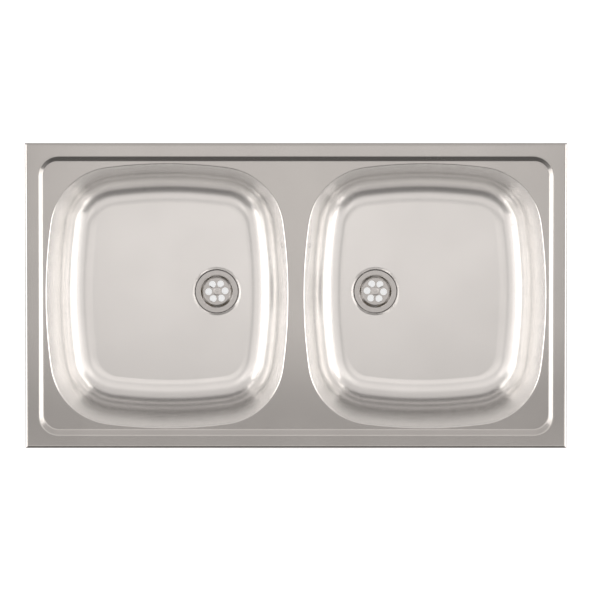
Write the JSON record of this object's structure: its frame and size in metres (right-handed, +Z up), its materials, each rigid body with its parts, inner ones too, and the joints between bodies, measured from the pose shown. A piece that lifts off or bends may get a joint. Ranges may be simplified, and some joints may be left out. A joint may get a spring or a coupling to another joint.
{
  "type": "double bowl kitchen sink",
  "caption": "Inset stainless steel kitchen sink with side-by-side bowls, strainer wastes, a shared overflow and swinging screw clips under the rim.",
  "frame": {"origin": "middle of the sink in plan, on the worktop's top face that the rim rests on", "axes": "+X along the sink, +Y to its back, +Z up out of the worktop"},
  "size_m": [0.78, 0.44, 0.2218],
  "materials": {
    "deck_steel": "satin, lightly brushed along the sink",
    "bowl_steel": "satin, drawn and brushed",
    "strainer_steel": "bright pressed stainless steel",
    "screw_steel": "bright stainless screws",
    "zinc_steel": "zinc plated steel",
    "clamp_steel": "bright steel band",
    "waste_plastic": "white moulded polypropylene",
    "hose_plastic": "light grey ribbed plastic",
    "pad_plastic": "black moulded plastic",
    "rubber_seal": "black rubber",
    "foam_seal": "grey closed-cell foam",
    "damping_sheet": "dark bitumen felt",
    "insert_brass": "turned brass"
  },
  "bodies": {
    "sink": {"bowl_left": "bowl_steel", "bowl_right": "bowl_steel", "clip_brackets": "zinc_steel", "clip_pins": "zinc_steel", "damping_pad_left": "damping_sheet", "damping_pad_right": "damping_sheet", "deck": "deck_steel", "drain_screw_left": "screw_steel", "drain_screw_right": "screw_steel", "flange_seal_left": "rubber_seal", "flange_seal_right": "rubber_seal", "hose_clamps": "clamp_steel", "overflow_box": "waste_plastic", "overflow_gasket_left": "rubber_seal", "overflow_gasket_right": "rubber_seal", "overflow_hose": "hose_plastic", "overflow_screws": "screw_steel", "rim_seal": "foam_seal", "strainer_left": "strainer_steel", "strainer_right": "strainer_steel", "threaded_insert_left": "insert_brass", "threaded_insert_right": "insert_brass", "waste_body_left": "waste_plastic", "waste_body_right": "waste_plastic", "waste_gasket_left": "rubber_seal", "waste_gasket_right": "rubber_seal"},
    "claw_front_left": {"clip_claw_front_left": "zinc_steel"},
    "pad_front_left": {"clip_pad_front_left": "pad_plastic"},
    "screw_front_left": {"clip_screw_front_left": "zinc_steel"},
    "claw_back_left": {"clip_claw_back_left": "zinc_steel"},
    "pad_back_left": {"clip_pad_back_left": "pad_plastic"},
    "screw_back_left": {"clip_screw_back_left": "zinc_steel"},
    "claw_front_middle": {"clip_claw_front_middle": "zinc_steel"},
    "pad_front_middle": {"clip_pad_front_middle": "pad_plastic"},
    "screw_front_middle": {"clip_screw_front_middle": "zinc_steel"},
    "claw_back_middle": {"clip_claw_back_middle": "zinc_steel"},
    "pad_back_middle": {"clip_pad_back_middle": "pad_plastic"},
    "screw_back_middle": {"clip_screw_back_middle": "zinc_steel"},
    "claw_front_right": {"clip_claw_front_right": "zinc_steel"},
    "pad_front_right": {"clip_pad_front_right": "pad_plastic"},
    "screw_front_right": {"clip_screw_front_right": "zinc_steel"},
    "claw_back_right": {"clip_claw_back_right": "zinc_steel"},
    "pad_back_right": {"clip_pad_back_right": "pad_plastic"},
    "screw_back_right": {"clip_screw_back_right": "zinc_steel"},
    "claw_end_left": {"clip_claw_end_left": "zinc_steel"},
    "pad_end_left": {"clip_pad_end_left": "pad_plastic"},
    "screw_end_left": {"clip_screw_end_left": "zinc_steel"},
    "claw_end_right": {"clip_claw_end_right": "zinc_steel"},
    "pad_end_right": {"clip_pad_end_right": "pad_plastic"},
    "screw_end_right": {"clip_screw_end_right": "zinc_steel"}
  },
  "joints": [
    {"name": "swing_front_left", "type": "hinge", "parent": "sink", "child": "claw_front_left", "pos_m": [-0.35, -0.2056, -0.003], "axis": [1, 0, 0], "range_deg": [0, 15]},
    {"name": "lift_front_left", "type": "slide", "parent": "claw_front_left", "child": "pad_front_left", "axis": [0, 0, 1], "range_m": [0, 0.018]},
    {"name": "turn_front_left", "type": "hinge", "parent": "pad_front_left", "child": "screw_front_left", "pos_m": [-0.35, -0.2145, -0.0465], "axis": [0, 0, 1], "range_deg": [0, 6480]},
    {"name": "swing_back_left", "type": "hinge", "parent": "sink", "child": "claw_back_left", "pos_m": [-0.35, 0.2056, -0.003], "axis": [-1, 0, 0], "range_deg": [0, 15]},
    {"name": "lift_back_left", "type": "slide", "parent": "claw_back_left", "child": "pad_back_left", "axis": [0, 0, 1], "range_m": [0, 0.018]},
    {"name": "turn_back_left", "type": "hinge", "parent": "pad_back_left", "child": "screw_back_left", "pos_m": [-0.35, 0.2145, -0.0465], "axis": [0, 0, 1], "range_deg": [0, 6480]},
    {"name": "swing_front_middle", "type": "hinge", "parent": "sink", "child": "claw_front_middle", "pos_m": [0, -0.2056, -0.003], "axis": [1, 0, 0], "range_deg": [0, 15]},
    {"name": "lift_front_middle", "type": "slide", "parent": "claw_front_middle", "child": "pad_front_middle", "axis": [0, 0, 1], "range_m": [0, 0.018]},
    {"name": "turn_front_middle", "type": "hinge", "parent": "pad_front_middle", "child": "screw_front_middle", "pos_m": [0, -0.2145, -0.0465], "axis": [0, 0, 1], "range_deg": [0, 6480]},
    {"name": "swing_back_middle", "type": "hinge", "parent": "sink", "child": "claw_back_middle", "pos_m": [0, 0.2056, -0.003], "axis": [-1, 0, 0], "range_deg": [0, 15]},
    {"name": "lift_back_middle", "type": "slide", "parent": "claw_back_middle", "child": "pad_back_middle", "axis": [0, 0, 1], "range_m": [0, 0.018]},
    {"name": "turn_back_middle", "type": "hinge", "parent": "pad_back_middle", "child": "screw_back_middle", "pos_m": [0, 0.2145, -0.0465], "axis": [0, 0, 1], "range_deg": [0, 6480]},
    {"name": "swing_front_right", "type": "hinge", "parent": "sink", "child": "claw_front_right", "pos_m": [0.35, -0.2056, -0.003], "axis": [1, 0, 0], "range_deg": [0, 15]},
    {"name": "lift_front_right", "type": "slide", "parent": "claw_front_right", "child": "pad_front_right", "axis": [0, 0, 1], "range_m": [0, 0.018]},
    {"name": "turn_front_right", "type": "hinge", "parent": "pad_front_right", "child": "screw_front_right", "pos_m": [0.35, -0.2145, -0.0465], "axis": [0, 0, 1], "range_deg": [0, 6480]},
    {"name": "swing_back_right", "type": "hinge", "parent": "sink", "child": "claw_back_right", "pos_m": [0.35, 0.2056, -0.003], "axis": [-1, 0, 0], "range_deg": [0, 15]},
    {"name": "lift_back_right", "type": "slide", "parent": "claw_back_right", "child": "pad_back_right", "axis": [0, 0, 1], "range_m": [0, 0.018]},
    {"name": "turn_back_right", "type": "hinge", "parent": "pad_back_right", "child": "screw_back_right", "pos_m": [0.35, 0.2145, -0.0465], "axis": [0, 0, 1], "range_deg": [0, 6480]},
    {"name": "swing_end_left", "type": "hinge", "parent": "sink", "child": "claw_end_left", "pos_m": [-0.3756, 0, -0.003], "axis": [0, -1, 0], "range_deg": [0, 15]},
    {"name": "lift_end_left", "type": "slide", "parent": "claw_end_left", "child": "pad_end_left", "axis": [0, 0, 1], "range_m": [0, 0.018]},
    {"name": "turn_end_left", "type": "hinge", "parent": "pad_end_left", "child": "screw_end_left", "pos_m": [-0.3845, 0, -0.0465], "axis": [0, 0, 1], "range_deg": [0, 6480]},
    {"name": "swing_end_right", "type": "hinge", "parent": "sink", "child": "claw_end_right", "pos_m": [0.3756, 0, -0.003], "axis": [0, 1, 0], "range_deg": [0, 15]},
    {"name": "lift_end_right", "type": "slide", "parent": "claw_end_right", "child": "pad_end_right", "axis": [0, 0, 1], "range_m": [0, 0.018]},
    {"name": "turn_end_right", "type": "hinge", "parent": "pad_end_right", "child": "screw_end_right", "pos_m": [0.3845, 0, -0.0465], "axis": [0, 0, 1], "range_deg": [0, 6480]}
  ],
  "couplings": [
    {"joint": "turn_front_left", "follows": "lift_front_left", "rad_per_m": 6283.2},
    {"joint": "turn_back_left", "follows": "lift_back_left", "rad_per_m": 6283.2},
    {"joint": "turn_front_middle", "follows": "lift_front_middle", "rad_per_m": 6283.2},
    {"joint": "turn_back_middle", "follows": "lift_back_middle", "rad_per_m": 6283.2},
    {"joint": "turn_front_right", "follows": "lift_front_right", "rad_per_m": 6283.2},
    {"joint": "turn_back_right", "follows": "lift_back_right", "rad_per_m": 6283.2},
    {"joint": "turn_end_left", "follows": "lift_end_left", "rad_per_m": 6283.2},
    {"joint": "turn_end_right", "follows": "lift_end_right", "rad_per_m": 6283.2}
  ]
}
